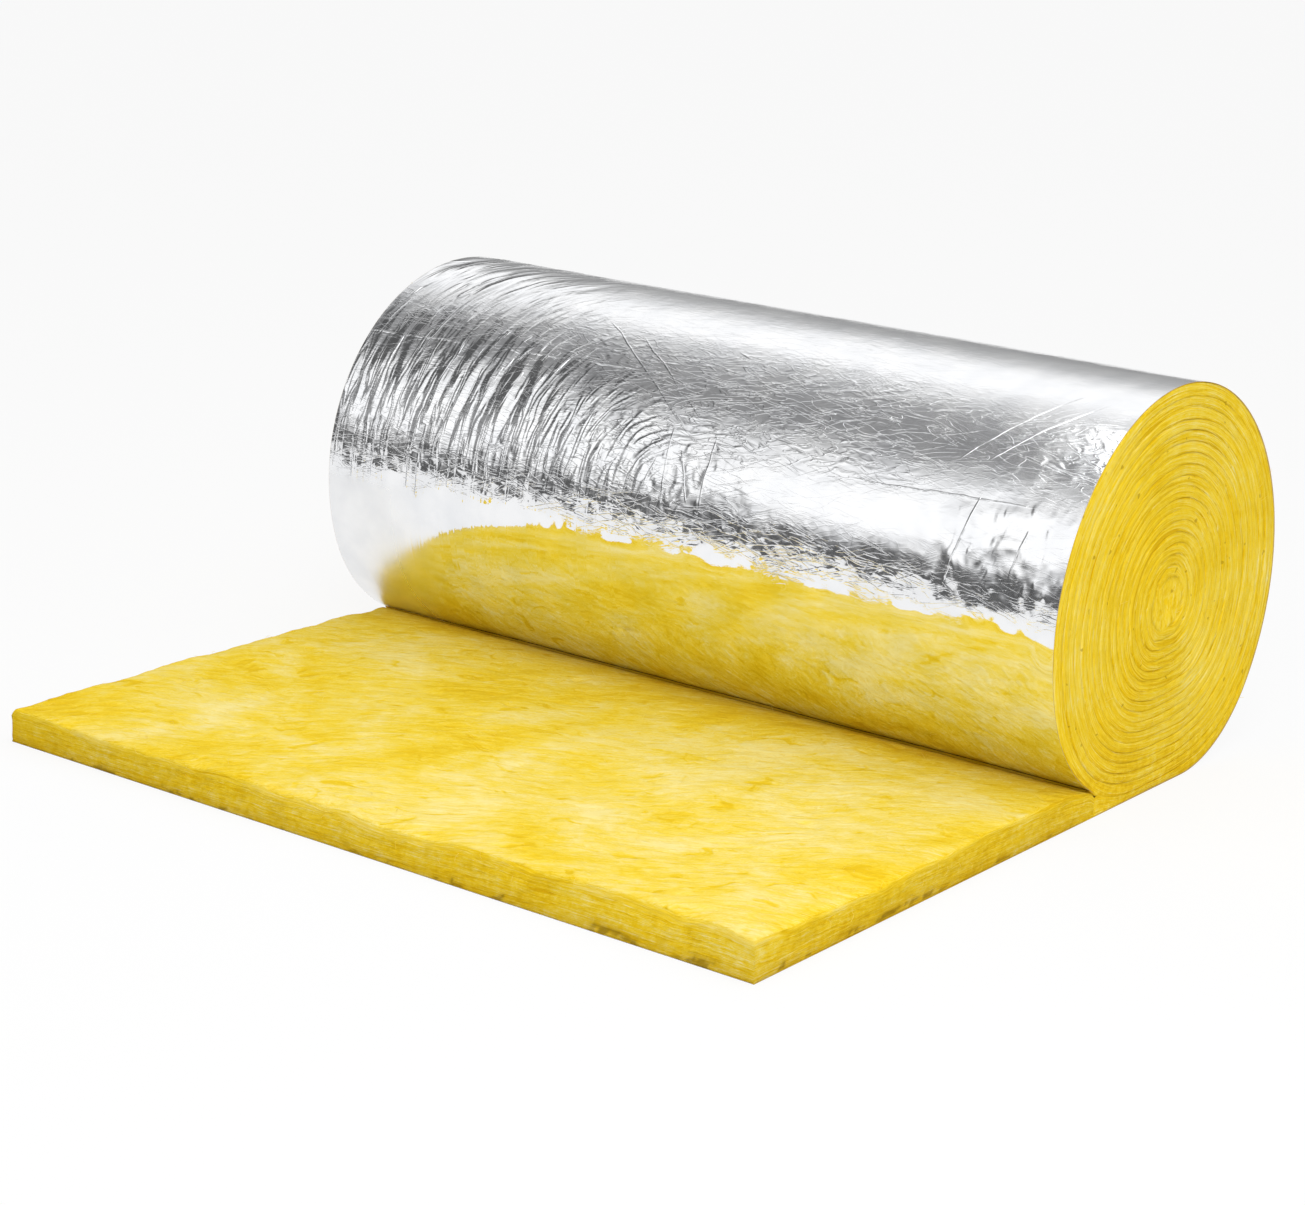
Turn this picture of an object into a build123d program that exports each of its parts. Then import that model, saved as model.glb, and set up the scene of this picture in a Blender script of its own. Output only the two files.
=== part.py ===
"""A roll of foil-faced glass wool, partly unrolled on a level floor.

The blanket is one long strip of yellow wool with a foil facing glued to its outer side. It is wound
foil side out, and its free end is laid out flat in front of the roll, foil side down. Wound in, the
wool is squeezed to a third of its thickness; laid out, it springs back. The roll sags under its own
weight, so its underside is flat and presses the sheet beneath it thin.

Millimetres. X runs along the roll, Y from the free end to the back of the roll, Z is up. The origin
is on the floor, in the middle of the whole footprint.
"""

import os
from math import asin, atan2, cos, degrees, pi, sin, sqrt

from build123d import *

# Driving dimensions
sheet_width = 1200.0
sheet_thickness = 46.0
foil_thickness = 0.5
laid_length = 880.0
roll_radius = 284.0
roll_sag = 34.0
heel_tightening = 84.0
toe_tightening = 64.0
pressed_thickness = 10.0
pinch_height = 32.0
dip_length = 115.0
end_rounding = 8.0
turn_pitch = 16.0
eye_radius = 54.0
crease_width = 2.0
crease_depth = 10.0

# How the crease between the turns is drawn
arcs_per_turn = 8
sag_sharpness = 6

# Places in the section, with the roll's axis above Y 0
axis_height = roll_radius - roll_sag
axis_to_origin = (laid_length - roll_radius) / 2
roll_axis = Vector(0, axis_height)
heel_radius = roll_radius - heel_tightening
toe_radius = roll_radius - toe_tightening


def inner_centre(radius, bottom, side):
    """Centre of an arc that touches the roll's circle from inside and the level line at bottom."""
    height = bottom + radius
    reach = sqrt((roll_radius - radius) ** 2 - (axis_height - height) ** 2)
    return Vector(side * reach, height)


def touching_angle(centre):
    """Direction, in degrees, from the roll's axis to where an inner arc touches its circle."""
    offset = centre - roll_axis
    return degrees(atan2(offset.Y, offset.X))


heel_centre = inner_centre(heel_radius, 0, side=1)
toe_centre = inner_centre(toe_radius, pressed_thickness, side=-1)
heel_touch = touching_angle(heel_centre)
toe_touch = touching_angle(toe_centre) % 360
# The toe comes down on the sheet at the pinch, where the sheet is already squeezed to this height.
pinch_turn = 180 + degrees(asin((toe_centre.Y - pinch_height) / toe_radius))


def outer_line(inset):
    """The blanket's outer side: from the free end, under the roll, round its back, to the pinch."""
    floor_end = Vector(heel_centre.X, inset)
    return [
        Line((-laid_length, inset), floor_end),
        CenterArc(heel_centre, heel_radius - inset, -90, heel_touch + 90),
        CenterArc(roll_axis, roll_radius - inset, heel_touch, toe_touch - heel_touch),
        CenterArc(toe_centre, toe_radius - inset, toe_touch, pinch_turn - toe_touch),
    ]


def foil_section():
    """The facing: a thin band along the whole outer side."""
    outside = outer_line(0)
    inside = outer_line(foil_thickness)
    caps = [Line(outside[0] @ 0, inside[0] @ 0), Line(outside[-1] @ 1, inside[-1] @ 1)]
    return make_face([*outside, *inside, *caps])


def wool_section():
    """The wool: the wound roll and the laid sheet in one outline, inside the facing."""
    outside = outer_line(foil_thickness)
    pinch = outer_line(0)[-1] @ 1
    dip_start = Vector(pinch.X - dip_length, sheet_thickness)
    edge_top = Vector(-laid_length + end_rounding, sheet_thickness)
    edge_side = Vector(-laid_length, sheet_thickness - end_rounding)
    top = [
        Line(outside[-1] @ 1, pinch),
        TangentArc(dip_start, pinch, tangent=(1, 0)),
        Line(dip_start, edge_top),
        TangentArc(edge_top, edge_side, tangent=(-1, 0)),
        Line(edge_side, outside[0] @ 0),
    ]
    return make_face([*outside, *top])


def turn_point(turn, inset):
    """Point between two turns of the roll. turn counts from its underside, round its back."""
    angle = 2 * pi * turn - pi / 2
    flattening = roll_sag / roll_radius * max(0.0, -sin(angle)) ** sag_sharpness
    reach = (roll_radius - inset - turn_pitch * turn) * (1 - flattening)
    return roll_axis + Vector(cos(angle), sin(angle)) * reach


def crease_section():
    """The crease between turns on the roll's ends: from the pinch, under the roll, in to its eye."""
    first_inset = roll_radius - (axis_height - pressed_thickness) / (1 - roll_sag / roll_radius)
    turns = (roll_radius - first_inset - eye_radius) / turn_pitch
    steps = 2 * round(turns * arcs_per_turn)
    half = crease_width / 2
    sides = []
    for shift in (-half, half):
        spiral = [turn_point(turns * step / steps, first_inset + shift) for step in range(steps + 1)]
        toe_end = Vector(toe_centre.X, toe_centre.Y - toe_radius + shift)
        side = [
            CenterArc(toe_centre, toe_radius - shift, pinch_turn, 270 - pinch_turn),
            Line(toe_end, spiral[0]),
        ]
        for step in range(0, steps, 2):
            side.append(ThreePointArc(*spiral[step : step + 3]))
        sides.append(side)
    caps = [Line(sides[0][end] @ at, sides[1][end] @ at) for end, at in ((0, 0), (-1, 1))]
    return make_face([*sides[0], *sides[1], *caps])


def along_roll(section, start, length):
    """A section pushed along the roll from X = start, moved so that the footprint is centred."""
    plane = Plane(origin=(start, axis_to_origin, 0), x_dir=(0, 1, 0), z_dir=(1, 0, 0))
    return extrude(plane * section, length, dir=(1, 0, 0))


half_width = sheet_width / 2
crease = crease_section()
foil_facing = along_roll(foil_section(), -half_width, sheet_width)
wool_blanket = along_roll(wool_section(), -half_width, sheet_width)
for start in (-half_width, half_width - crease_depth):
    wool_blanket -= along_roll(crease, start, crease_depth)

os.makedirs("parts", exist_ok=True)
export_step(wool_blanket, "parts/wool_blanket.step")
export_step(foil_facing, "parts/foil_facing.step")
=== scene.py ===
"""A roll of foil-faced glass wool, partly unrolled on a pale studio floor.

Metres, in the frame of the solids: X along the roll, Y from the free end to the back, Z up.
"""

from math import asin, atan2, cos, hypot, pi, radians, sin, sqrt

import bmesh
import bpy
import numpy as np
from mathutils import Matrix, Vector


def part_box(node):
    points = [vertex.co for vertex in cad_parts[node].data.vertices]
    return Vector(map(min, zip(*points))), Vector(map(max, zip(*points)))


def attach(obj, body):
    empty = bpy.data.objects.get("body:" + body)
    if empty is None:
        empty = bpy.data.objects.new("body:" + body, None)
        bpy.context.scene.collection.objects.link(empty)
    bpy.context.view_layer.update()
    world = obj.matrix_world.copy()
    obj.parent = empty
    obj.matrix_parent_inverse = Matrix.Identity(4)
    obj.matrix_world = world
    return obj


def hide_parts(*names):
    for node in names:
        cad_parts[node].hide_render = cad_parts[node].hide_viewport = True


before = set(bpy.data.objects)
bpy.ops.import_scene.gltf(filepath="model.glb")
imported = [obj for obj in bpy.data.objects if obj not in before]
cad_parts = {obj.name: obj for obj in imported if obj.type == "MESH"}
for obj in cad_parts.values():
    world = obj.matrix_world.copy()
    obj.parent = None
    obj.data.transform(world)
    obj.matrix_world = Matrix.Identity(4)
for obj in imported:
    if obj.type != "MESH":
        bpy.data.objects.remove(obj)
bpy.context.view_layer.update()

# Wool blanket
# Resin-bonded yellow glass fibre, laid down in thin flat layers and cut square at its sides. One strip
# lies on the floor from its free end, runs under the roll and winds round inside itself to the eye. The
# layers show as lines on the cut edges, and each turn of the roll bulges a little at its end.
roll_radius = 0.284
heel_radius = 0.200
toe_radius = 0.220
sheet_thickness = 0.046
pressed_thickness = 0.010
pinch_height = 0.032
dip_length = 0.115
turn_pitch = 0.0145
eye_radius = 0.030
sag_sharpness = 6

foil_low, foil_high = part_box("foil_facing")
half_width = foil_high.x
free_end = foil_low.y
axis_y = foil_high.y - roll_radius
axis_z = foil_high.z - roll_radius
sag_share = (roll_radius - axis_z) / roll_radius


def inner_centre(radius, bottom, side):
    """Centre, from the roll's axis, of an arc inside the roll's circle that comes down to bottom."""
    height = bottom + radius - axis_z
    return side * sqrt((roll_radius - radius) ** 2 - height**2), height


heel_centre = inner_centre(heel_radius, 0, 1)
toe_centre = inner_centre(toe_radius, pressed_thickness, -1)
floor_end_angle = atan2(-axis_z, heel_centre[0])
heel_angle = atan2(heel_centre[1], heel_centre[0])
toe_angle = atan2(toe_centre[1], toe_centre[0]) + 2 * pi
toe_bottom_angle = atan2(pressed_thickness - axis_z, toe_centre[0]) + 2 * pi
underside_angle = 3 * pi / 2
pinch_turn = pi + asin((toe_centre[1] + axis_z - pinch_height) / toe_radius)
pinch_y = toe_centre[0] + toe_radius * cos(pinch_turn)
pinch_angle = atan2(pinch_height - axis_z, pinch_y) + 2 * pi
first_crease = (axis_z - pressed_thickness) / (1 - sag_share)


def reach_to_arc(angle, centre, radius):
    """Distance from the roll's axis to an arc, in a direction round the roll."""
    along = np.cos(angle) * centre[0] + np.sin(angle) * centre[1]
    return along + np.sqrt(along**2 - hypot(*centre) ** 2 + radius**2)


def reach_to_level(angle, height):
    """Distance from the roll's axis down to a level height above the floor."""
    return (axis_z - height) / np.maximum(-np.sin(angle), 0.05)


def outline_reach(angle, inset):
    """Distance from the roll's axis to the blanket's outer side, from the floor round to the pinch."""
    return np.select(
        [angle < floor_end_angle, angle < heel_angle, angle < toe_angle],
        [
            reach_to_level(angle, inset),
            reach_to_arc(angle, heel_centre, heel_radius - inset),
            np.full_like(angle, roll_radius - inset),
        ],
        reach_to_arc(angle, toe_centre, toe_radius - inset),
    )


def crease_reach(angle):
    """Distance from the roll's axis to the crease between two turns, from the pinch in to the eye."""
    turn = (angle - underside_angle) / (2 * pi)
    flattening = sag_share * np.maximum(-np.sin(angle), 0) ** sag_sharpness
    spiral = (first_crease - turn_pitch * turn) * (1 - flattening)
    under = [angle < toe_bottom_angle, angle < underside_angle]
    toe = reach_to_arc(angle, toe_centre, toe_radius)
    return np.select(under, [toe, reach_to_level(angle, pressed_thickness)], spiral)


def ripple(u, v, seed):
    """A smooth random field from about -1 to 1, with hills one unit wide."""
    size = 128
    slope = np.random.default_rng(seed).uniform(0, 2 * pi, (size, size))
    column, row = np.floor(u).astype(int), np.floor(v).astype(int)
    fu, fv = u - column, v - row

    def corner(right, up):
        angle = slope[(column + right) % size, (row + up) % size]
        return np.cos(angle) * (fu - right) + np.sin(angle) * (fv - up)

    ease_u = fu**3 * (fu * (6 * fu - 15) + 10)
    ease_v = fv**3 * (fv * (6 * fv - 15) + 10)
    lower = corner(0, 0) * (1 - ease_u) + corner(1, 0) * ease_u
    upper = corner(0, 1) * (1 - ease_u) + corner(1, 1) * ease_u
    return 1.5 * (lower * (1 - ease_v) + upper * ease_v)


def hills(x, y, size, seed):
    """A ripple over a surface, with hills of this size in metres each way."""
    return ripple(x / size[0], y / size[1], seed)


def length_along(y, z):
    """Length along a line of points, from its first one."""
    return np.concatenate([[0], np.cumsum(np.hypot(np.diff(y), np.diff(z)))])


def ease(value, start, end):
    """0 before start, 1 after end, and smooth between them."""
    share = np.clip((value - start) / (end - start), 0, 1)
    return share * share * (3 - 2 * share)


class Weave:
    """A mesh put together from grids of points that share their borders."""

    def __init__(self):
        self.points, self.faces, self.grain, self.count = [], [], [], 0
        # The crease mark is painted shade: how far a point's colour is darkened toward brown.
        self.marks = {"cut": [], "crease": [], "fuzz": []}

    def place(self, x, y, z, cut=0.0, crease=0.0, fuzz=0.0):
        """New points, given as arrays of one shape. Returns their numbers in that shape."""
        x, y, z, cut, crease, fuzz = np.broadcast_arrays(x, y, z, cut, crease, fuzz)
        numbers = np.arange(self.count, self.count + x.size).reshape(x.shape)
        self.points.append(np.stack([x, y, z], -1).reshape(-1, 3))
        for mark, values in (("cut", cut), ("crease", crease), ("fuzz", fuzz)):
            self.marks[mark].extend(values.ravel())
        self.count += x.size
        return numbers

    def grid(self, numbers, u, v):
        """Four-sided faces over a grid of points, with the grain's place at each point."""
        u, v = np.broadcast_arrays(u, v)
        for table, kept in ((numbers, self.faces), (np.stack([u, v], -1), self.grain)):
            ring = [table[:-1, :-1], table[1:, :-1], table[1:, 1:], table[:-1, 1:]]
            stacked = np.stack(ring, 2)
            kept.extend(stacked.reshape(-1, *stacked.shape[2:]).tolist())

    def face(self, numbers):
        """One face of its own, with any number of corners."""
        self.faces.append(list(numbers))
        self.grain.append([(0, 0)] * len(numbers))

    def finish(self, name):
        """The mesh object, with its faces outwards and its grain as a UV map."""
        mesh = bpy.data.meshes.new(name)
        mesh.from_pydata(np.concatenate(self.points).tolist(), [], self.faces)
        grain = mesh.uv_layers.new(name="grain")
        grain.data.foreach_set("uv", [n for face in self.grain for place in face for n in place])
        for mark, values in self.marks.items():
            mesh.attributes.new(mark, "FLOAT", "POINT").data.foreach_set("value", values)
        shell = bmesh.new()
        shell.from_mesh(mesh)
        bmesh.ops.recalc_face_normals(shell, faces=shell.faces)
        shell.to_mesh(mesh)
        shell.free()
        mesh.shade_smooth()
        made = bpy.data.objects.new(name, mesh)
        bpy.context.collection.objects.link(made)
        return made


class Shade:
    """A value in a material's nodes. Sums and products of such values add the nodes for them."""

    def __init__(self, tree, socket=None):
        self.tree, self.socket = tree, socket

    def node(self, kind, settings=(), output=0, **inputs):
        """A node of this kind. Its inputs go by name, with _ for spaces, or as input0, input1."""
        made = self.tree.nodes.new("ShaderNode" + kind)
        for name, value in dict(settings).items():
            if name == "stops":
                ramp = made.color_ramp.elements
                while len(ramp) < len(value):
                    ramp.new(1)
                for stop, (place, colour) in zip(ramp, value):
                    stop.position, stop.color = place, (*colour, 1)
            else:
                setattr(made, name, value)
        for name, value in inputs.items():
            name = name.replace("_", " ")
            usable = [s for s in made.inputs if s.enabled and s.name == name]
            socket = usable[0] if usable else made.inputs[int(name[5:])]
            if isinstance(value, Shade):
                self.tree.links.new(value.socket, socket)
            else:
                socket.default_value = value
        return Shade(self.tree, made.outputs[output])

    def math(self, operation, *values):
        """A Math node over these values."""
        sockets = {f"input{i}": value for i, value in enumerate(values)}
        return self.node("Math", {"operation": operation}, **sockets)

    def __add__(self, other):
        return self.math("ADD", self, other)

    def __sub__(self, other):
        return self.math("SUBTRACT", self, other)

    def __rsub__(self, other):
        return self.math("SUBTRACT", other, self)

    def __mul__(self, other):
        return self.math("MULTIPLY", self, other)

    __radd__, __rmul__ = __add__, __mul__

    def band(self, start, end, soft):
        """1 between start and end and 0 outside them, with soft edges."""
        ramp = {"interpolation_type": "SMOOTHSTEP"}
        rise = self.node("MapRange", ramp, Value=self, From_Min=start - soft, From_Max=start + soft)
        fall = self.node("MapRange", ramp, Value=self, From_Min=end - soft, From_Max=end + soft)
        return rise - fall


def new_material(name):
    """An empty node material, its Shade and its surface node's inputs."""
    material = bpy.data.materials.new(name)
    material.use_nodes = True
    tree = material.node_tree
    return material, Shade(tree), tree.nodes["Principled BSDF"].inputs


# How the wool's mesh is divided: across and along the laid sheet, through it and round the roll
columns = 262
rows = 158
last_row_gap = 0.018
pinch_rows = np.array([0.012, 0.008, 0.0045, 0.002, 0])
layers = np.array([0, 0.07, 0.18, 0.34, 0.5, 0.66, 0.82, 0.93, 1])
steps_per_turn = 144

# How deep the wool lies under the facing, along its rims and between them
foil_gap = 0.0005
rim_inset = 0.0007
rim_depth = 0.015
wool_inset = 0.0022

# The laid sheet's top: swells, tufts, strands, nap and pits, and how its fibres lie
swell_height, swell_size = 0.0016, (0.21, 0.17)
tuft_height, tuft_size = 0.0010, (0.046, 0.030)
strand_height, strand_size = 0.0006, (0.021, 0.013)
nap_height, nap_size = 0.0003, (0.009, 0.009)
pit_depth, pit_size = 0.0035, (0.055, 0.035)
tuft_drift, tuft_drift_size = 0.012, (0.09, 0.09)
fibre_lie = radians(33)
fibre_drift, fibre_drift_size = 0.035, (0.22, 0.22)
fibre_squash = 0.42

# The cut edges: slumped and lipped, with strata, lumps and rags (length, height, how far out)
edge_drop = 0.0062
edge_reach = 0.013
slump_width, fine_slump_width = 0.17, 0.06
edge_forms = ((0.110, 0.0075, 0.0011), (0.040, 0.025, 0.0013), (0.017, 0.012, 0.0006))
edge_cut = np.array([1, 1, 1, 1, 1, 1, 0.95, 0.6, 0])
fuzz_start, fuzz_full = 0.018, 0.026
lip = 0.003
lip_reach = 0.002
lip_share = 0.3
strata_length = 0.45
strata_width = 1.7

# The free end leans back, dips in its middle and stands high at one corner
end_lean = 0.021
lean_change, lean_width = 0.4, 0.13
lean_reach = 0.08
lean_curve = 1.6
# Painted shade on the leaning free end, darker where it leans further
lean_painted_shade = 7
corner_loft = 0.0055
middle_dip = 0.004
loft_reach = 0.15

# The pinch, where the roll rests on the laid sheet
groove_depth = 0.005
groove_width = 0.005
# Widths of the painted shadow line at the pinch and of the painted shade in front of the roll
contact_shadow_width = 0.0065
roll_shade_reach = 0.17

# The wound turns and the eye
turn_bulge = 0.0016
turn_shift = 0.0016
turn_lumps = 0.0007
crease_depth = 0.0045
crease_wander = 0.0013
crease_tremble = 0.0007
settle_steps = 12
eye_rings = (0.84, 0.66, 0.48, 0.3, 0.14)
eye_fold = 0.0030
eye_sink = 0.0022
tip_sink = 0.003

wool = Weave()
wool_x = np.linspace(-half_width, half_width, columns)
laid_y = np.linspace(free_end, axis_y + pinch_y - last_row_gap, rows - len(pinch_rows))
laid_y = np.append(laid_y, axis_y + pinch_y - pinch_rows)
dip = np.clip(laid_y - (laid_y[-1] - dip_length), 0, None)
dip_drop = sheet_thickness - pinch_height
dip_radius = (dip_length**2 + dip_drop**2) / (2 * dip_drop)
laid_top = sheet_thickness - dip_radius + np.sqrt(dip_radius**2 - dip**2)


def side_relief(along, height, seed):
    """How far the layers of a cut edge stand out, by the place along it and the height."""
    forms = enumerate(edge_forms)
    return sum(out * ripple(along / long, height / high, seed + i) for i, (long, high, out) in forms)


# The top of the laid sheet
X, Y = np.meshgrid(wool_x, laid_y)
side_gap = half_width - np.abs(X)
front_gap = Y - free_end
pinch_gap = laid_y[-1] - Y
tuft_x = X + tuft_drift * hills(X, Y, tuft_drift_size, 11)
tuft_y = Y + tuft_drift * hills(X, Y, tuft_drift_size, 12)
tufts = hills(tuft_x, tuft_y, tuft_size, 13)
strands = hills(tuft_x, tuft_y, strand_size, 15)
pits = ease(hills(tuft_x, tuft_y, pit_size, 17), 0.62, 0.95)
relief = swell_height * hills(X, Y, swell_size, 14) + tuft_height * tufts
relief += strand_height * strands + nap_height * hills(X, Y, nap_size, 16)
relief -= pit_depth * pits
relief *= ease(pinch_gap, 0, 0.03)
# Its edges slump more in some places than in others, and least at the corners
edge_gap = np.minimum(side_gap, front_gap)
slump = ripple(X / slump_width + 3, Y / slump_width, 24)
slump += 0.4 * ripple(X / fine_slump_width, Y / fine_slump_width, 18)
slump = ease(slump, -0.7, 0.8)
slump *= 0.15 + 0.85 * ease(np.hypot(side_gap, front_gap), 0.02, 0.12)
drop = edge_drop * (0.2 + 1.2 * slump) * np.exp(-edge_gap / (edge_reach * (0.5 + 1.4 * slump)))
loft = corner_loft * ease(X, 0.05, 0.55) - middle_dip * (ease(X, -0.25, 0.05) - ease(X, 0.40, 0.55))
lofted = loft * np.exp(-front_gap / loft_reach)
lean = end_lean * (1 + lean_change * ripple(wool_x / lean_width, 0 * wool_x, 19))
lean *= ease(wool_x, -0.60, 0.20) * ease(half_width - wool_x, 0.005, 0.10)
# The roll presses a groove into it. Painted shade: the sheet is made deeper yellow in the roll's shade,
# and a painted shadow darkens the line where the roll rests
groove = np.exp(-((pinch_gap / groove_width) ** 2))
roll_shade = 0.75 * np.exp(-pinch_gap / roll_shade_reach)
painted_contact_shadow = 1.5 * np.exp(-((pinch_gap / contact_shadow_width) ** 2))
top_z = laid_top[:, None] + relief + lofted
top_z -= drop * ease(pinch_gap, 0, 0.05) + groove_depth * groove
side_pull = np.exp(-side_gap / edge_reach) * ease(pinch_gap, 0, 0.02)
lip_x = lip * np.exp(-side_gap / lip_reach) * ease(pinch_gap, 0, 0.05)
top_x = X + np.sign(X) * (side_pull * side_relief(Y, top_z, 21) - lip_x)
top_y = Y - np.exp(-front_gap / edge_reach) * side_relief(X, top_z, 31)
top_y += lip * np.exp(-front_gap / lip_reach) + lean * np.exp(-front_gap / lean_reach)
fuzz = 0.35 + 0.65 * np.exp(-edge_gap / 0.02)
fuzz *= ease(pinch_gap, 0.01, 0.05)
# The top's rounded rim takes the cut edges' deeper colour: partly their own colour, partly painted shade
# on the slope
rim_colour_and_shade = 0.75 * np.exp(-edge_gap / (0.006 + 0.010 * slump)) * ease(pinch_gap, 0.02, 0.08)
top_cut = np.maximum(roll_shade, rim_colour_and_shade)
top = wool.place(top_x, top_y, top_z, cut=top_cut, crease=painted_contact_shadow, fuzz=fuzz)
lie_x = X + fibre_drift * hills(X, Y, fibre_drift_size, 22)
lie_y = Y + fibre_drift * hills(X, Y, fibre_drift_size, 23)
lie_along = lie_x * cos(fibre_lie) + lie_y * sin(fibre_lie)
lie_across = lie_y * cos(fibre_lie) - lie_x * sin(fibre_lie)
wool.grid(top, lie_along, fibre_squash * lie_across)

# The cut free end, from the floor up
end_z = foil_gap + (top_z[0][:, None] - foil_gap) * layers[None, :-1]
end_x = np.broadcast_to(wool_x[:, None], end_z.shape).copy()
end_pull = ease(end_z, 0, 0.006)
end_y = free_end - end_pull * side_relief(end_x, end_z, 31)
end_y += lean[:, None] * layers[None, :-1] ** lean_curve
end_y[:, -1] += lip_share * lip
for edge, sign in ((0, -1), (-1, 1)):
    end_x[edge] += sign * end_pull[edge] * side_relief(end_y[edge], end_z[edge], 21)
    end_x[edge, -1] -= sign * lip_share * lip


def edge_gloom(along, height, seed):
    """How deep the colour of a cut edge is: darker towards the bottom, painted shade where the edge meets
    the floor, and darkest in random spots along the bottom.
    """
    crumbs = ripple(along / 0.05, height / 0.02, seed) + 0.5 * ripple(along / 0.013, height / 0.009, seed)
    crumbs = ease(crumbs, 0, 0.7)
    bottom = ease(height, 0.016, 0.002)
    gloom = 0.14 + 0.22 * ease(height, 0.040, 0.004) + bottom * (0.30 + 0.6 * crumbs) + 0.2 * crumbs
    return np.clip(gloom, 0, 1)


fuzz = ease(end_z, fuzz_start, fuzz_full)
# Painted shade: the free end is darker where it leans further
gloom = edge_gloom(end_x, end_z, 36) + lean_painted_shade * lean[:, None] * layers[None, :-1]
end = wool.place(end_x, end_y, end_z, cut=edge_cut[None, :-1], crease=gloom, fuzz=fuzz)
front = np.concatenate([end, top[0][:, None]], 1)
wool.grid(front, strata_length * wool_x[:, None], 2 + strata_width * sheet_thickness * layers[None, :])

# The cut sides: the laid sheet's edge and, in one strip with it, the wound turns in to the eye
turns = (first_crease - eye_radius) / turn_pitch
crease_steps = int(turns * steps_per_turn)
under_pinch = atan2(foil_gap - axis_z, pinch_y)
rim_angle = np.linspace(under_pinch, pinch_angle, steps_per_turn + 1)
crease_angle = pinch_angle + np.arange(1, crease_steps + 1) * 2 * pi / steps_per_turn
wander = ease(crease_angle, underside_angle, underside_angle + 1)
crease_wobble = crease_wander * ripple(crease_angle * 1.9, 0 * crease_angle, 41)
crease_wobble += crease_tremble * ripple(crease_angle * 5.3, 0 * crease_angle, 42)
strip_angle = np.concatenate([rim_angle, crease_angle])
strip_reach = np.concatenate(
    [outline_reach(rim_angle, foil_gap + rim_inset), crease_reach(crease_angle) + wander * crease_wobble]
)
strip_reach[steps_per_turn] = hypot(pinch_y, pinch_height - axis_z)
strip_y = axis_y + strip_reach * np.cos(strip_angle)
strip_z = axis_z + strip_reach * np.sin(strip_angle)
cells = len(strip_angle) - steps_per_turn
along = length_along(strip_y, strip_z)
open_crease = np.clip(0.55 + 0.75 * ripple(strip_angle * 1.3, 0 * strip_angle, 43), 0.12, 1)
is_crease = np.arange(len(strip_angle)) > steps_per_turn

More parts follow.
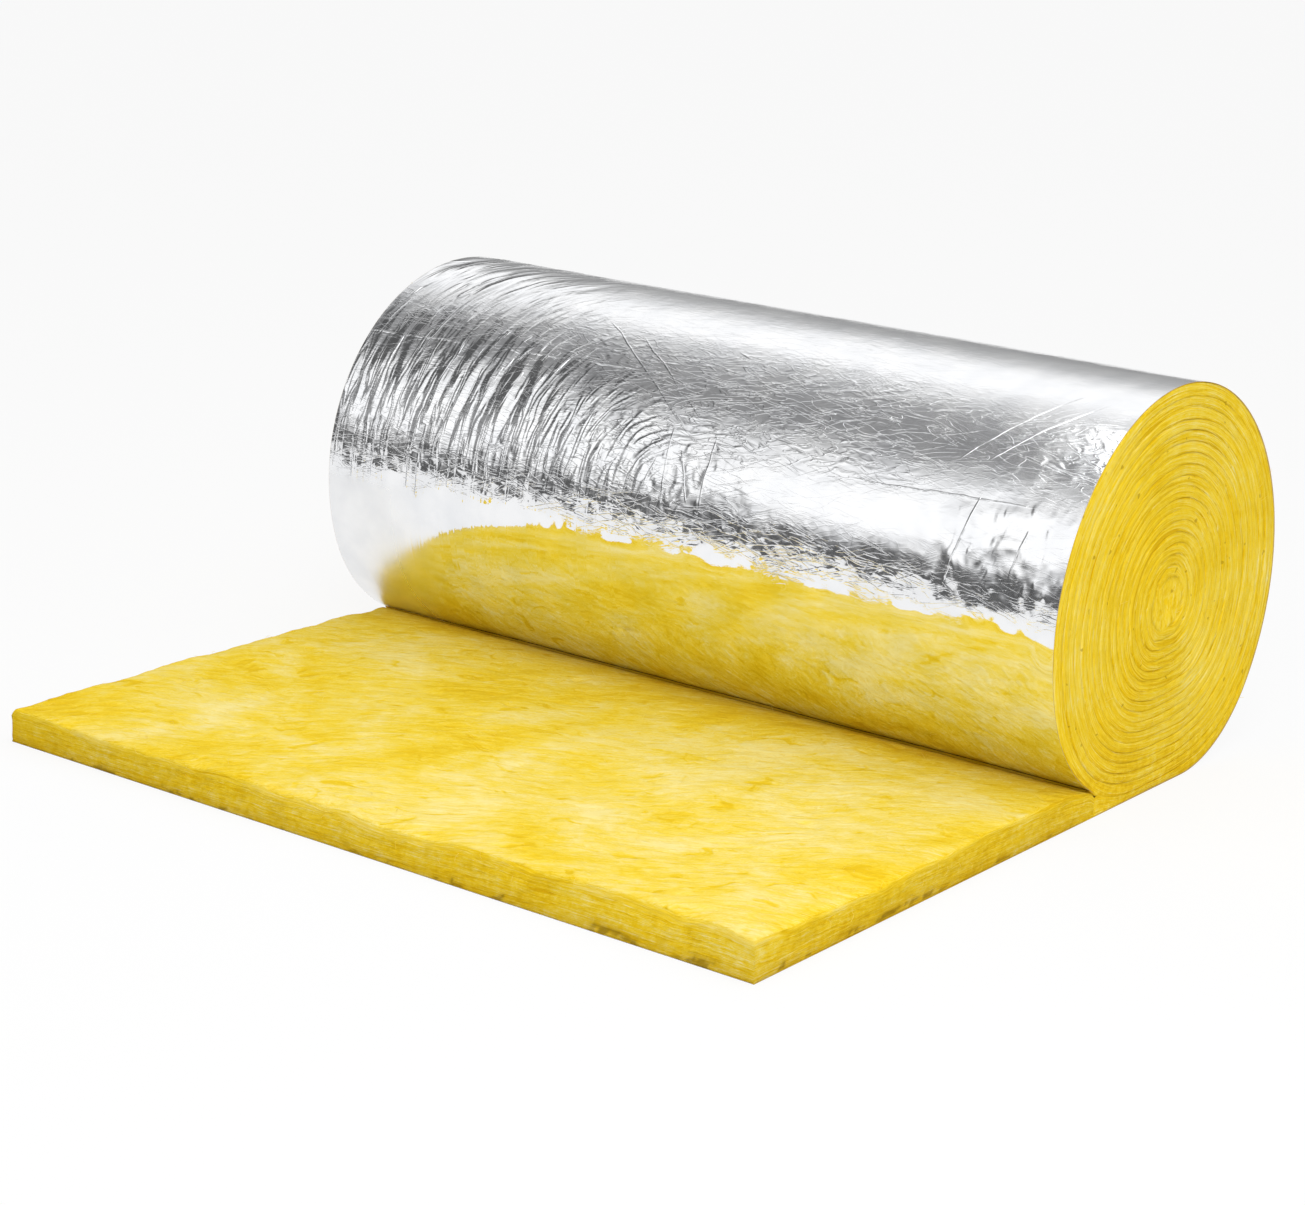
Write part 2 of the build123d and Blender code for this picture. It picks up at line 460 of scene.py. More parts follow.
rims = []
for sign, edge, seed in ((-1, 0, 50), (1, -1, 60)):
    # The laid sheet's cut edge
    z = foil_gap + (top_z[:, edge][:, None] - foil_gap) * layers[None, 1:-1]
    y = np.broadcast_to(laid_y[:, None], z.shape)
    x = sign * (half_width + ease(pinch_gap[:, :1], 0, 0.02) * side_relief(y, z, 21))
    x[:, -1] -= sign * lip_share * lip_x[:, edge]
    fuzz = ease(z, fuzz_start, fuzz_full) * ease(pinch_gap[:, :1], 0.01, 0.05)
    gloom = edge_gloom(y, z, 26) * ease(pinch_gap[:, :1], 0, 0.10)
    side = wool.place(x[1:], y[1:], z[1:], cut=edge_cut[None, 1:-1], crease=gloom[1:], fuzz=fuzz[1:])
    # Painted shade along the bottom of the cut side on the floor, fading out near the pinch
    low_gloom = 0.6 * ease(pinch_gap[1:, 0], 0, 0.1)
    low = wool.place(sign * half_width, laid_y[1:], foil_gap, cut=1, crease=low_gloom)
    laid = np.concatenate([low[:, None], side, top[1:, edge][:, None]], 1)
    laid = np.concatenate([front[edge][None, :], laid])
    wool.grid(laid, strata_length * laid_y[:, None], strata_width * sheet_thickness * layers[None, :])
    # The wound turns
    depth = np.where(is_crease, crease_depth * open_crease, rim_inset)
    border = sign * (half_width - depth * ease(np.arange(len(depth)), 0, settle_steps))
    # Painted shade in the creases between the turns: patchy, and deeper where a crease is more open
    patchy = 0.6 + 0.4 * ripple(strip_angle * 4.1, 0 * strip_angle, seed + 3)
    gloom = np.where(is_crease, open_crease * patchy, 0)
    crease = wool.place(border[1:], strip_y[1:], strip_z[1:], cut=1, crease=gloom[1:])
    numbers = np.concatenate([laid[-1, :1], crease])
    numbers[steps_per_turn] = laid[-1, -1]
    across = layers[None, 1:-1]
    outer, inner = np.arange(cells), np.arange(cells) + steps_per_turn
    y = strip_y[outer][:, None] * (1 - across) + strip_y[inner][:, None] * across
    z = strip_z[outer][:, None] * (1 - across) + strip_z[inner][:, None] * across
    bulge = turn_bulge * ((4 * across * (1 - across)) ** 0.4 - 0.7)
    shift = turn_shift * ripple(strip_angle[outer] * 0.55, 0 * strip_angle[outer], seed)[:, None]
    lump_row = across * 2 + strip_angle[outer][:, None]
    lumps = turn_lumps * ripple(along[outer][:, None] / 0.03, lump_row, seed + 1)
    settle = ease(outer, 0, settle_steps)[:, None]
    x = sign * (half_width + settle * (bulge + shift + lumps))
    fuzz = 0.5 * settle * ease(z, 0.02, 0.04)
    turn = wool.place(x[1:], y[1:], z[1:], cut=1, fuzz=fuzz[1:])
    strip = np.concatenate([numbers[outer][1:, None], turn, numbers[inner][1:, None]], 1)
    strip = np.concatenate([laid[-1][None, :], strip])
    turn_number = strip_angle[outer][:, None] / (2 * pi)
    strata = strata_width * turn_pitch * (turn_number * 3 + layers[None, :])
    wool.grid(strip, 0.5 * strata_length * along[outer][:, None], strata)
    # The eye, where the strip starts, folded in on itself
    loop = np.concatenate([numbers[outer[-1] :], strip[-1, -2:0:-1]])
    points = np.concatenate(wool.points)[loop]
    middle = points.mean(0)
    rings = [loop]
    for share in eye_rings:
        y, z = (middle[i] + (points[:, i] - middle[i]) * share for i in (1, 2))
        fold = eye_fold * ripple(y / 0.016, z / 0.022, seed + 2) - eye_sink
        x = sign * (half_width + fold * (1 - share**4))
        rings.append(wool.place(x, y, z, cut=1))
    rings = np.array(rings)
    rings = np.concatenate([rings, rings[:, :1]], 1)
    ring_points = np.concatenate(wool.points)[rings]
    wool.grid(rings, ring_points[..., 2], ring_points[..., 1])
    tip = wool.place(np.array([sign * (half_width - tip_sink)]), middle[1], middle[2], cut=1)[0]
    for first, second in zip(rings[-1][:-1], rings[-1][1:]):
        wool.face((first, second, tip))
    rims.append(np.concatenate([laid[:, 0], numbers[1 : steps_per_turn + 1]]))

# The skin under the facing, sunk a little below it between the two rims
inner_columns = [int(np.searchsorted(wool_x, -half_width + rim_depth)), 0]
inner_columns[1] = columns - 1 - inner_columns[0]
skin_y = np.concatenate([laid_y[1:], strip_y[1:steps_per_turn]])
skin_z = np.concatenate([np.full(rows - 1, foil_gap), strip_z[1:steps_per_turn]])
deeper = wool_inset - rim_inset
out_y = np.concatenate([np.zeros(rows - 1), np.cos(rim_angle[1:-1])])
out_z = np.concatenate([np.full(rows - 1, -1.0), np.sin(rim_angle[1:-1])])
skin = [rims[0][1:-1]]
for column in inner_columns:
    skin.append(wool.place(wool_x[column], skin_y - deeper * out_y, skin_z - deeper * out_z))
skin = np.stack([*skin, rims[1][1:-1]])
wool.grid(skin, np.zeros((4, 1)), np.zeros((1, skin.shape[1])))
spans = [0, *inner_columns, columns - 1]
for fine, coarse in ((front[:, 0], skin[:, 0]), (top[-1], skin[:, -1])):
    for span in range(3):
        row = fine[spans[span] : spans[span + 1] + 1]
        wool.face([*row, coarse[span + 1], coarse[span]])

wool_blanket = wool.finish("wool_blanket")

# Glass wool: bright yellow, paler where the fibres are teased out and deeper where they lie dense
wool_material, shade, surface = new_material("glass_wool")
place = shade.node("TexCoord", output=3)
grain = shade.node("UVMap", {"uv_map": "grain"})
cut = shade.node("Attribute", {"attribute_name": "cut"}, output=2)
flat = {"noise_dimensions": "2D"}
open_ended = 9.0


def stretch(place, first, second):
    """A place on a surface, with this many waves to the metre each way."""
    return place.node("VectorMath", {"operation": "MULTIPLY"}, input0=place, input1=(first, second, 1.0))


def noise(place, detail, roughness, distortion):
    """A flat noise over a place, from 0 to 1."""
    rough = {"Detail": detail, "Roughness": roughness, "Distortion": distortion}
    return place.node("TexNoise", flat, Vector=place, Scale=1.0, **rough)


def blend(share, first, second):
    """A colour that goes from the first to the second as the share goes from 0 to 1."""
    return share.node("Mix", {"data_type": "RGBA"}, output=2, Factor=share, A=first, B=second)


clouds = shade.node("TexNoise", Vector=place, Scale=6.5, Detail=5.0, Roughness=0.6, Distortion=0.5)
streaks = noise(stretch(grain, 20.0, 220.0), 5.0, 0.7, 0.8)
fibres = noise(stretch(grain, 110.0, 800.0), 3.0, 0.6, 1.0)
dense = noise(stretch(grain, 20.0, 75.0), 3.0, 0.5, 0.7).band(0.685, open_ended, 0.08)
# Faces cut by the knife are crumbly, those of the wound turns less so
knifed = cut.band(0.88, open_ended, 0.08)
wound = shade.node("SeparateXYZ", output=2, Vector=place).band(0.052, open_ended, 0.006)
crumbs = shade.node("TexNoise", Vector=place, Scale=85.0, Detail=3.0, Roughness=0.65)
crumbs = (crumbs - 0.5) * (1 - wound * 0.6) * knifed
# Painted shade: the laid sheet is deeper yellow just in front of the roll, in its shade
from_front = shade.node("SeparateXYZ", output=1, Vector=place)
roll_foot_shade = from_front.band(axis_y + pinch_y - 0.09, open_ended, 0.13) * (1 - knifed) * 0.16
clouded, streaked, strand = clouds - 0.5, streaks - 0.5, fibres - 0.5
density = clouded * 1.9 + streaked * 0.95 + strand * 0.55 + 0.54 - dense * 0.42 - roll_foot_shade
layering = clouded * 0.9 + streaked * 1.3 + strand * 1.3 + 0.48 - dense * 0.3 - roll_foot_shade
top_colour = shade.node(
    "ValToRGB",
    {
        "stops": [
            (0.10, (0.850, 0.560, 0.010)),
            (0.35, (0.910, 0.650, 0.034)),
            (0.55, (0.930, 0.708, 0.098)),
            (0.90, (0.955, 0.800, 0.300)),
        ]
    },
    Fac=density,
)
cut_colour = shade.node(
    "ValToRGB",
    {
        "stops": [
            (0.08, (0.760, 0.450, 0.002)),
            (0.34, (0.890, 0.595, 0.006)),
            (0.56, (0.925, 0.670, 0.038)),
            (0.78, (0.945, 0.745, 0.130)),
            (0.98, (0.960, 0.830, 0.320)),
        ]
    },
    Fac=layering + crumbs + wound * 0.03,
)
# Painted shade: the crease mark darkens the creases between the turns, the cut edges towards the bottom
# and the leaning free end toward brown, and darkens the line where the roll rests, a painted shadow, most
# of all. Dark brown specks on the roll's cut ends are painted shade of small pits
painted_shade_brown = (0.45, 0.24, 0.002, 1)
deepest_shade_brown = (0.06, 0.03, 0.001, 1)
crease = shade.node("Attribute", {"attribute_name": "crease"}, output=2)
specks = shade.node("TexNoise", Vector=place, Scale=70.0, Detail=1.0).band(0.745, open_ended, 0.02)
deep = shade.math("MAXIMUM", crease * 0.62, specks * cut * wound * 0.6)
colour = blend(deep, blend(cut, top_colour, cut_colour), painted_shade_brown)
colour = blend(crease.band(1.05, open_ended, 0.3), colour, deepest_shade_brown)
shade.tree.links.new(colour.socket, surface["Base Color"])
surface["Roughness"].default_value = 0.95
surface["Specular IOR Level"].default_value = 0.04
surface["Sheen Weight"].default_value = 0.02
surface["Sheen Roughness"].default_value = 0.6
rise = streaks * 0.7 + fibres * 0.4 - dense * 0.3 + crumbs * 0.7
bump = shade.node("Bump", Strength=0.8, Distance=0.003, Height=rise)
shade.tree.links.new(bump.socket, surface["Normal"])
wool_blanket.data.materials.append(wool_material)
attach(wool_blanket, "root")
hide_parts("wool_blanket")

# Loose fibres
# Short curled strands of glass that stand off the wool, most along its cut edges. They are bedded in
# the blanket by the same resin and are lifted out by the knife.
fibre_length = 0.009
fibre_radius = 0.00013
fibre_density = 1700.0

tree = bpy.data.node_groups.new("loose_fibres", "GeometryNodeTree")
tree.interface.new_socket("Geometry", in_out="INPUT", socket_type="NodeSocketGeometry")
for name in ("Length", "Radius", "Density"):
    tree.interface.new_socket(name, in_out="INPUT", socket_type="NodeSocketFloat")
tree.interface.new_socket("Geometry", in_out="OUTPUT", socket_type="NodeSocketGeometry")


def step(kind, settings=(), **inputs):
    """A node of this kind in the tree, with its settings and the values or links of its inputs."""
    made = tree.nodes.new(kind)
    for name, value in dict(settings).items():
        setattr(made, name, value)
    for name, value in inputs.items():
        socket = next(s for s in made.inputs if s.enabled and s.name == name.replace("_", " "))
        if isinstance(value, bpy.types.NodeSocket):
            tree.links.new(value, socket)
        else:
            socket.default_value = value
    return made


given = step("NodeGroupInput").outputs
spread = step("GeometryNodeInputNamedAttribute", {"data_type": "FLOAT"}, Name="fuzz").outputs["Attribute"]
density = step("ShaderNodeMath", {"operation": "MULTIPLY"})
tree.links.new(spread, density.inputs[0])
tree.links.new(given["Density"], density.inputs[1])
points = step(
    "GeometryNodeDistributePointsOnFaces", Mesh=given["Geometry"], Density=density.outputs[0], Seed=5
)
bend = step(
    "GeometryNodeCurveQuadraticBezier",
    Resolution=4,
    Start=(0, 0, -0.1),
    Middle=(0.35, 0.25, 0.45),
    End=(1, 0, 0.12),
)
size = step("GeometryNodeTransform", Geometry=bend.outputs[0])
tree.links.new(given["Length"], size.inputs["Scale"])
ring = step("GeometryNodeCurvePrimitiveCircle", Resolution=3, Radius=given["Radius"])
strand = step(
    "GeometryNodeCurveToMesh", Curve=size.outputs[0], Profile_Curve=ring.outputs[0], Fill_Caps=True
)
turns_about = {"Min": (-0.5, -0.35, 0), "Max": (0.5, 0.5, 2 * pi)}
spin = step("FunctionNodeRandomValue", {"data_type": "FLOAT_VECTOR"}, Seed=6, **turns_about)
locally = {"rotation_space": "LOCAL"}
turned = step("FunctionNodeRotateRotation", locally, Rotation=points.outputs["Rotation"])
tree.links.new(spin.outputs[0], turned.inputs["Rotate By"])
grow = step("FunctionNodeRandomValue", {"data_type": "FLOAT"}, Min=0.45, Max=1.7, Seed=7)
grow = next(socket for socket in grow.outputs if socket.enabled)
strands = step(
    "GeometryNodeInstanceOnPoints",
    Points=points.outputs["Points"],
    Instance=strand.outputs[0],
    Rotation=turned.outputs[0],
    Scale=grow,
)
fibre_material, shade, surface = new_material("loose_fibre")
place = shade.node("TexCoord", output=3)
mottle = shade.node("TexNoise", Vector=place, Scale=40.0, Detail=2.0)
colour = shade.node(
    "ValToRGB", {"stops": [(0.3, (0.90, 0.64, 0.03)), (0.7, (0.95, 0.75, 0.17))]}, Fac=mottle
)
shade.tree.links.new(colour.socket, surface["Base Color"])
surface["Roughness"].default_value = 0.6
whole = step("GeometryNodeRealizeInstances", Geometry=strands.outputs[0])
dressed = step("GeometryNodeSetMaterial", Geometry=whole.outputs[0], Material=fibre_material)
step("NodeGroupOutput", Geometry=dressed.outputs[0])

grower = bpy.data.objects.new("fibre_grower", wool_blanket.data.copy())
bpy.context.collection.objects.link(grower)
growth = grower.modifiers.new("growth", "NODES")
growth.node_group = tree
for name, value in (("Length", fibre_length), ("Radius", fibre_radius), ("Density", fibre_density)):
    growth[tree.interface.items_tree[name].identifier] = value
grown = grower.evaluated_get(bpy.context.evaluated_depsgraph_get())
fibre_mesh = bpy.data.meshes.new_from_object(grown)
fibre_mesh.name = "loose_fibres"
fibre_mesh.shade_smooth()
bpy.data.objects.remove(grower)
loose_fibres = bpy.data.objects.new("loose_fibres", fibre_mesh)
bpy.context.collection.objects.link(loose_fibres)
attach(loose_fibres, "root")

# Foil facing
# Bright aluminium foil on paper, glued to the outer side of the wool. Wound up, it is too long for the
# roll's inside, so it wrinkles round the roll, most near one end, and crumples where it was handled.

# How its mesh is divided: finely where it is wrinkled, and coarsely on its inner side
wrinkled_end = -0.12
wrinkled_columns = 216
smooth_columns = 128
floor_rows = 30
heel_rows = 26
back_rows = 155
toe_rows = 24
inside_step = 4

# Its thickness with the paper, and at its rims, and how far it is tucked in at the pinch
foil_depth = 0.0016
rim_thickness = 0.0003
tuck = 0.05

# Wrinkles turn from round the roll to along it at this place, and end sooner high up on the roll
turning_x = 0.03
turning_angle = 170
high_up_shift = 0.26
foil_drift, foil_drift_size = 0.010, (0.10, 0.12)
wrinkle_height, wrinkle_width, wrinkle_length = 0.0019, 0.017, 0.130
fine_wrinkle_height, fine_wrinkle_width, fine_wrinkle_length = 0.0010, 0.0095, 0.050
crumple_height, crumple_width = 0.0010, 0.030
fine_crumple_height, fine_crumple_width = 0.0007, 0.019
wave_height, wave_size = 0.0005, (0.16, 0.07)
belly_height = 0.004

# Where it was handled: how hard, then place and reach, along the roll and in degrees round it
handled_places = ((1.0, 0.02, 0.10, 163, 9), (1.6, 0.50, 0.09, 160, 13))

foil = Weave()
foil_x = np.concatenate(
    [
        [-half_width],
        np.linspace(rim_thickness - half_width, wrinkled_end, wrinkled_columns, endpoint=False),
        np.linspace(wrinkled_end, half_width - rim_thickness, smooth_columns + 1),
        [half_width],
    ]
)
path = []
for centre, radius, start, end, count in (
    (heel_centre, heel_radius, -pi / 2, heel_angle, heel_rows),
    ((0, 0), roll_radius, heel_angle, toe_angle, back_rows),
    (toe_centre, toe_radius, toe_angle, pinch_turn + tuck, toe_rows),
):
    turn = np.linspace(start, end, count, endpoint=centre is toe_centre)
    path.append([centre[0] + radius * np.cos(turn), centre[1] + radius * np.sin(turn), turn])
path_y, path_z, path_turn = np.concatenate(path, 1)
floor_y = np.linspace(free_end - axis_y, heel_centre[0], floor_rows, endpoint=False)
path_y = np.concatenate([floor_y, path_y]) + axis_y
path_z = np.concatenate([np.full(floor_rows, -axis_z), path_z]) + axis_z
path_turn = np.concatenate([np.full(floor_rows, -pi / 2), path_turn])
path_length = length_along(path_y, path_z)
roll_start = float(np.interp(0, path_turn[floor_rows:], path_length[floor_rows:]))


def facets(u, v, seed):
    """A random surface of flat three-cornered facets, one unit wide, with sharp creases between them."""
    size = 128
    height = np.random.default_rng(seed).uniform(-1, 1, (size, size))
    lean = (u + v) * 0.366
    u, v = u + lean, v + lean
    column, row = np.floor(u).astype(int), np.floor(v).astype(int)
    fu, fv = u - column, v - row
    far = height[(column + 1) % size, (row + 1) % size] * np.minimum(fu, fv)
    near = height[column % size, row % size] * (1 - np.maximum(fu, fv))
    right = height[(column + 1) % size, row % size] * np.maximum(fu - fv, 0)
    left = height[column % size, (row + 1) % size] * np.maximum(fv - fu, 0)
    return near + far + right + left


X, S = np.meshgrid(foil_x, path_length)
turn = np.broadcast_to(path_turn[:, None], X.shape)
angle = np.degrees(turn)
bend_x = X + foil_drift * hills(X, S, foil_drift_size, 71)
bend_s = S + foil_drift * hills(X, S, foil_drift_size, 72)
leftward = np.maximum(turning_x - bend_x, 0)
upward = np.maximum(roll_start + roll_radius * radians(turning_angle) - bend_s, 0)
flow, gone = (leftward**3 + upward**3) ** (1 / 3), upward - leftward
# Wrinkles round the roll near its far end, long narrow facets with sharp folds between them
high_up = ease(angle, 138, 98)
tightness = 1 - ease(X + high_up_shift * high_up + 0.10 * ripple(X / 0.25, S / 0.2, 73), -0.36, 0.02)
tightness *= 0.45 + 0.55 * ease(ripple(X / 0.12, S / 0.16, 74), -0.6, 0.4)
wrinkles = wrinkle_height * facets(flow / wrinkle_width, gone / wrinkle_length, 75)
slanted = flow / fine_wrinkle_width + 0.3 * gone / 0.06
wrinkles += fine_wrinkle_height * facets(slanted, gone / fine_wrinkle_length, 76)
# Crumples where the foil was handled
handled = np.zeros_like(X)
for force, at_x, reach_x, at_angle, reach_angle in handled_places:
    handled += force * np.exp(-(((X - at_x) / reach_x) ** 2) - ((angle - at_angle) / reach_angle) ** 2)
handled += 0.85 * np.exp(-(((angle - 172) / 6) ** 2)) + 0.18
crumple = crumple_height * facets(bend_x / crumple_width, bend_s / crumple_width, 77)
slant_x, slant_s = (bend_x + bend_s) / fine_crumple_width, (bend_s - bend_x) / fine_crumple_width
crumple += fine_crumple_height * facets(slant_x, slant_s, 78)
# The front low down is pulled smooth by the roll's weight, and so is the stretch under the roll
slack = (1 - 0.97 * ease(angle, 175, 180)) * ease(angle, -60, -10)
waves = wave_height * hills(X, S, wave_size, 79)
belly = belly_height * (ease(angle, 146, 171) - ease(angle, 171, 192))
height = waves + belly + slack * (tightness * wrinkles + handled * crumple)
rim_gap = half_width - np.abs(X)
height *= 0.12 + 0.88 * ease(rim_gap, 0, 0.03)
off_floor = ease(angle, -85, -60)
height *= off_floor
out_y, out_z = np.cos(turn), np.sin(turn)
at_rim = (rim_gap == 0).astype(float)
outside = foil.place(X, path_y[:, None] + height * out_y, path_z[:, None] + height * out_z, cut=at_rim)
foil.grid(outside, X, S)

pick_x = np.append(np.arange(0, len(foil_x) - 1, inside_step), len(foil_x) - 1)
pick_s = np.append(np.arange(0, len(path_y) - 1, inside_step), len(path_y) - 1)
pick = np.ix_(pick_s, pick_x)
thin = rim_thickness + (foil_depth - rim_thickness) * ease(rim_gap[pick], 0, 0.02)
thin = np.where(angle[pick] < -80, rim_thickness, thin)
low = np.where(rim_gap[pick] < 0.01, height[pick], 0)
inside = foil.place(
    X[pick],
    path_y[pick_s][:, None] + (low - thin) * out_y[pick],
    path_z[pick_s][:, None] + (low - thin) * out_z[pick],
    cut=at_rim[pick],
)
foil.grid(inside, X[pick], S[pick])
for fine, few, picked in (
    (outside[0], inside[0], pick_x),
    (outside[-1], inside[-1], pick_x),
    (outside[:, 0], inside[:, 0], pick_s),
    (outside[:, -1], inside[:, -1], pick_s),
):
    for i, (start, end) in enumerate(zip(picked[:-1], picked[1:])):
        foil.face([*fine[start : end + 1], few[i + 1], few[i]])

foil_facing = foil.finish("foil_facing")

foil_material, shade, surface = new_material("foil")
grain = shade.node("UVMap", {"uv_map": "grain"})
across, around = (shade.node("SeparateXYZ", output=i, Vector=grain) for i in (0, 1))
waver = shade.node("TexNoise", flat, Vector=grain, Scale=22.0, Detail=3.0, output=1)
waver = shade.node("VectorMath", {"operation": "SUBTRACT"}, input0=waver, input1=(0.5, 0.5, 0.5))
strained = shade.node(
    "VectorMath", {"operation": "MULTIPLY_ADD"}, input0=waver, input1=(0.006, 0.006, 0.0), input2=grain
)


def on_roll(degrees_round):
    """Length along the foil to this angle round the roll."""
    return roll_start + roll_radius * radians(degrees_round)


def threads(place, soft):
    """Thin lines that wind along a noise."""
    off_line = shade.math("ABSOLUTE", noise(place, 2.0, 0.5, 0.8) - 0.5)
    return 1 - off_line.band(soft, open_ended, soft)


def within(value, reach, soft):
    """1 where a value is nearer to 0 than reach, and 0 beyond it, with a soft edge."""
    away = shade.math("ABSOLUTE", value)
    edge = {"From_Min": reach + soft, "From_Max": reach - soft}
    return shade.node("MapRange", {"interpolation_type": "SMOOTHSTEP"}, Value=away, **edge)


fold_width = 0.0009
fold_fade = 0.012


def fold_line(x0, turn0, x1, turn1):
    """A thin crease between two places, each given along the roll and round it in degrees."""
    start, end = Vector((x0, on_roll(turn0), 0)), Vector((x1, on_roll(turn1), 0))
    run = (end - start).normalized()
    side = Vector((-run.y, run.x, 0))
    middle = (start + end) / 2
    dot = {"operation": "DOT_PRODUCT"}
    off = shade.node("VectorMath", dot, output=1, input0=strained, input1=side) - side.dot(start)
    gone = shade.node("VectorMath", dot, output=1, input0=strained, input1=run) - run.dot(middle)
    return within(off, fold_width, fold_width) * within(gone, (end - start).length / 2, fold_fade)


# Folds run round the roll at its far end, and turn along it above the handled place
strained_x, strained_s = (shade.node("SeparateXYZ", output=i, Vector=strained) for i in (0, 1))
leftward = shade.math("MAXIMUM", turning_x - strained_x, 0.0)
upward = shade.math("MAXIMUM", on_roll(turning_angle) - strained_s, 0.0)
cubed = shade.math("POWER", leftward, 3.0) + shade.math("POWER", upward, 3.0)
flow = shade.node("CombineXYZ", X=shade.math("POWER", cubed, 1 / 3), Y=upward - leftward)
ridged = {"noise_dimensions": "2D", "noise_type": "RIDGED_MULTIFRACTAL", "normalize": True}
rough = {"Scale": 1.0, "Detail": 4.0, "Roughness": 0.6, "Distortion": 0.5}
pleats = shade.node("TexNoise", ridged, Vector=stretch(flow, 95.0, 14.0), **rough)
high_up = 1 - around.band(on_roll(118), open_ended, 0.10)
far_end = 1 - (across + high_up * high_up_shift).band(-0.10, open_ended, 0.22)
turned = shade.node("VectorRotate", {"rotation_type": "Z_AXIS"}, Vector=strained, Angle=0.26)
back_turned = shade.node("VectorRotate", {"rotation_type": "Z_AXIS"}, Vector=strained, Angle=-0.17)
thread_net = threads(stretch(turned, 13.0, 70.0), 0.022) + threads(stretch(back_turned, 16.0, 85.0), 0.022)
cells = shade.node(
    "TexNoise", ridged, Vector=stretch(strained, 70.0, 42.0), Scale=1.0, Detail=2.0, Roughness=0.5
)
net = shade.node("TexNoise", ridged, Vector=stretch(strained, 42.0, 95.0), **rough)
smear = shade.node("TexNoise", flat, Vector=grain, Scale=18.0, Detail=4.0)
slack = 1 - (around + (smear - 0.5) * 0.06).band(on_roll(176.5), open_ended, 0.008) * 0.97
shadow_band = around.band(on_roll(116), on_roll(142), 0.02)
upper = 0.30 + 0.70 * (1 - around.band(on_roll(72), on_roll(116), 0.03))
calm = 1 - across.band(0.10, 0.43, 0.05) * around.band(on_roll(149), on_roll(166), 0.025) * 0.8
# Cracks where the foil was handled
patch = across.band(-0.06, 0.10, 0.03) * around.band(on_roll(152), on_roll(170), 0.015)
patch = patch + across.band(0.43, 0.70, 0.02) * around.band(on_roll(145), on_roll(170), 0.015)
worn = shade.node("TexNoise", flat, Vector=grain, Scale=14.0, Detail=3.0).band(0.42, open_ended, 0.12)
# Single folds, each with its weight and its two ends
folds = 0.0
for weight, line in (
    (0.45, (-0.60, 134, 0.05, 129)),
    (0.45, (0.27, 149, 0.53, 147)),
    (0.45, (0.41, 137, 0.51, 110)),
    (0.45, (0.45, 136, 0.55, 112)),
    (0.45, (-0.15, 119, 0.01, 141)),
    (0.45, (-0.22, 115, -0.02, 143)),
    (0.7, (-0.022, 147, -0.010, 164)),
    (0.7, (0.004, 152, 0.030, 163)),
    (0.7, (0.048, 147, 0.054, 166)),
    (0.7, (-0.036, 156, -0.050, 168)),
    (0.7, (0.455, 148, 0.438, 170)),
    (0.7, (0.535, 154, 0.525, 168)),
):
    folds = fold_line(*line) * weight + folds
folds = folds * (0.35 + 0.65 * worn)
near_end = across.band(0.34, open_ended, 0.10)
quiet = upper * calm * (1 - patch * 0.5) * (1 - far_end * 0.5) * (1 - near_end * 0.65)
fine = quiet * (thread_net * 0.05 + net * 0.20)
pleated = far_end * (0.35 + 0.65 * upper) * (1 - shadow_band * 0.5)
crumpled = around.band(on_roll(164), open_ended, 0.03) + patch * 0.9
crinkle = slack * (fine + pleats * pleated * 0.9 + cells * crumpled * 0.25 + folds * 0.22)
bump = shade.node("Bump", Strength=1.0, Distance=0.0030, Height=crinkle)
shade.tree.links.new(bump.socket, surface["Normal"])
cut = shade.node("Attribute", {"attribute_name": "cut"}, output=2)
rubbed = (1 - across.band(-0.44, open_ended, 0.08)) * around.band(on_roll(177), open_ended, 0.012)
roughness = 0.04 + slack * (smear * 0.12 + 0.03) + rubbed * 0.27 + cut * 0.6
shade.tree.links.new(roughness.socket, surface["Roughness"])
shade.tree.links.new((1 - cut).socket, surface["Metallic"])
paper_brown = (0.52, 0.33, 0.05, 1)
aluminium = [(0.3, (0.84, 0.85, 0.87)), (0.7, (0.92, 0.925, 0.935))]
tint = blend(cut, shade.node("ValToRGB", {"stops": aluminium}, Fac=smear), paper_brown)
shade.tree.links.new(tint.socket, surface["Base Color"])
foil_facing.data.materials.append(foil_material)
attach(foil_facing, "root")
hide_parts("foil_facing")

# Studio
# A pale floor that camera and foil see as white, banks of light all round the roll, and soft lamps
# overhead, in front and at the side. The foil doesn't show the front and side lamps.
half_floor = 30.0
floor_below = 0.0006
white_share = 0.86
floor_mesh = bpy.data.meshes.new("floor")
signs = ((-1, -1), (1, -1), (1, 1), (-1, 1))
corners = [(x * half_floor, y * half_floor, -floor_below) for x, y in signs]
floor_mesh.from_pydata(corners, [], [(0, 1, 2, 3)])
floor = bpy.data.objects.new("floor", floor_mesh)
bpy.context.collection.objects.link(floor)
floor_material, shade, surface = new_material("pale_floor")
surface["Base Color"].default_value = (0.86, 0.86, 0.86, 1)
surface["Roughness"].default_value = 1.0
surface["Specular IOR Level"].default_value = 0.0
# Camera, glossy and transmission rays
rays = [shade.node("LightPath", output=i) for i in (0, 3, 6)]
seen = shade.math("MAXIMUM", shade.math("MAXIMUM", rays[0], rays[1]), rays[2])
white = shade.node("Emission", Color=(1, 1, 1, 1), Strength=1.0)
lit = Shade(shade.tree, shade.tree.nodes["Principled BSDF"].outputs[0])
look = shade.node("MixShader", Fac=seen * white_share, input1=lit, input2=white)
shade.tree.links.new(look.socket, shade.tree.nodes["Material Output"].inputs["Surface"])
floor_mesh.materials.append(floor_material)

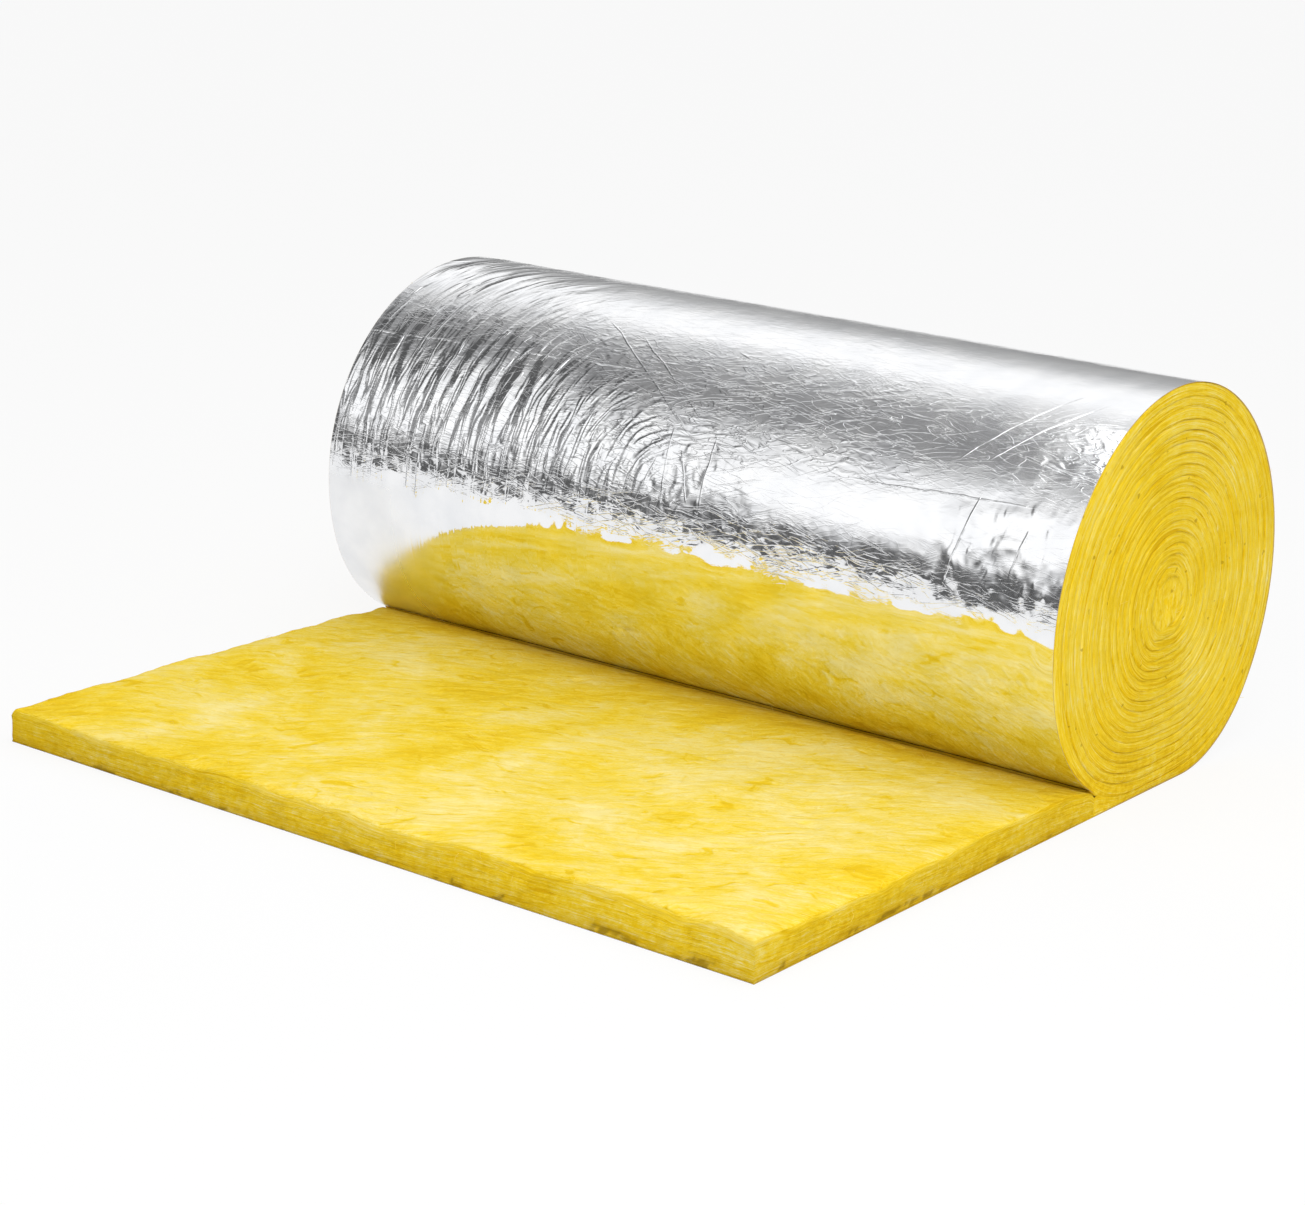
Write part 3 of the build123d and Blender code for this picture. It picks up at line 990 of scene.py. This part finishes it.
world = bpy.data.worlds.new("studio")
world.use_nodes = True
bpy.context.scene.world = world
sky = Shade(world.node_tree)
direction = sky.node("TexCoord", output=0)
parts = [sky.node("SeparateXYZ", output=i, Vector=direction) for i in range(3)]
round_roll = sky.math("DEGREES", sky.math("ARCTAN2", parts[2], parts[1]))
# The light from each direction round the roll, in degrees from the level behind it over its top
levels = (
    (-180, 0.10),
    (-40, 0.40),
    (0, 0.30),
    (24, 0.50),
    (42, 1.10),
    (60, 1.15),
    (82, 0.42),
    (100, 0.27),
    (112, 0.32),
    (130, 1.00),
    (138, 1.16),
    (152, 1.16),
    (166, 0.26),
    (173, 0.10),
    (180, 0.10),
)
brightest = 1.5
stops = [((angle + 180) / 360, (level / brightest,) * 3) for angle, level in levels]
bank = sky.node("ValToRGB", {"stops": stops}, Fac=(round_roll + 180) * (1 / 360))
# A dim wall beyond the roll's far end, lighter where the two banks pass it
wall_level = 0.10
wall = parts[0].band(-0.90, -0.65, 0.05) * (1 - round_roll.band(128, 158, 6) * 0.2)
wall = wall * (1 - round_roll.band(30, 72, 8) * 0.7)
strength = (1 - wall) * bank * brightest + wall * wall_level
background = world.node_tree.nodes["Background"]
sky.tree.links.new(strength.socket, background.inputs["Strength"])
background.inputs["Color"].default_value = (1, 1, 1, 1)

# Each lamp's place, width and depth, power and aim. The overhead one shines straight down
for name, place, size, energy, aim in (
    ("overhead", (0.5, -0.3, 2.8), (2.4, 2.0), 22.0, None),
    ("front", (2.4, -3.6, 2.7), (2.4, 1.6), 78.0, (0, 0, 0.1)),
    ("side", (3.3, 0.2, 1.3), (2.4, 1.6), 13.0, (0.6, 0.2, 0.2)),
):
    lamp = bpy.data.lights.new(name, "AREA")
    lamp.shape = "RECTANGLE"
    lamp.size, lamp.size_y = size
    lamp.energy = energy
    soft_light = bpy.data.objects.new(name, lamp)
    soft_light.location = place
    if aim:
        soft_light.rotation_euler = (Vector(aim) - Vector(place)).to_track_quat("-Z", "Y").to_euler()
        soft_light.visible_glossy = False
    bpy.context.collection.objects.link(soft_light)

# Camera
# It stands to the right in front of the roll, a little above it, tipped slightly to one side.
picture_width = 1305
focal_pixels = 3177.2
azimuth, elevation, tip = radians(37.416), radians(16.051), radians(1.917)
camera_place = (2.4457, -3.1983, 1.3481)
camera = bpy.data.cameras.new("camera")
camera.sensor_fit = "HORIZONTAL"
camera.sensor_width = 36.0
camera.lens = focal_pixels / picture_width * camera.sensor_width
camera.clip_end = 100.0
viewpoint = bpy.data.objects.new("camera", camera)
backward = Vector((sin(azimuth) * cos(elevation), -cos(azimuth) * cos(elevation), sin(elevation)))
level_right = Vector((0, 0, 1)).cross(backward).normalized()
level_up = backward.cross(level_right)
right = level_right * cos(tip) + level_up * sin(tip)
up = level_up * cos(tip) - level_right * sin(tip)
stance = Matrix((right, up, backward)).transposed().to_4x4()
stance.translation = camera_place
viewpoint.matrix_world = stance
bpy.context.collection.objects.link(viewpoint)
bpy.context.scene.camera = viewpoint
bpy.context.scene.view_settings.view_transform = "Standard"
